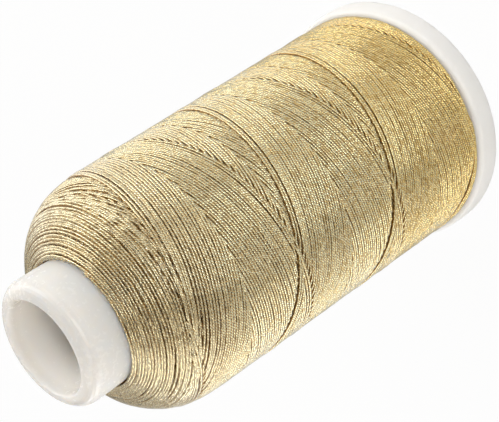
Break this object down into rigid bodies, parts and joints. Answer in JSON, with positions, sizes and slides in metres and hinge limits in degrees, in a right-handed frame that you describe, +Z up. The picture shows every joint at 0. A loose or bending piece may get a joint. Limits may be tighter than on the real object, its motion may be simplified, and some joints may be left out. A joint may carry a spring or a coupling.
{
  "type": "spool of thread",
  "caption": "Tall embroidery thread spool: metallic gold thread cross-wound on a hollow white plastic barrel, with a wide ribbed base flange and a bare neck with a rounded lip.",
  "frame": {"origin": "centre of the base flange's underside, on the plane that the spool stands on", "axes": "+Z up along the spool's axis, from the base flange to the neck; +X and +Y are any two directions across it"},
  "size_m": [0.062, 0.062, 0.116],
  "materials": {
    "barrel_plastic": "satin white, slightly translucent polypropylene",
    "flange_plastic": "satin white polypropylene",
    "thread": "twisted metallic gold thread, glittering"
  },
  "bodies": {
    "root": {"spool_barrel": "barrel_plastic", "base_flange": "flange_plastic", "thread_core": "thread", "outer_winding": "thread"}
  },
  "joints": []
}
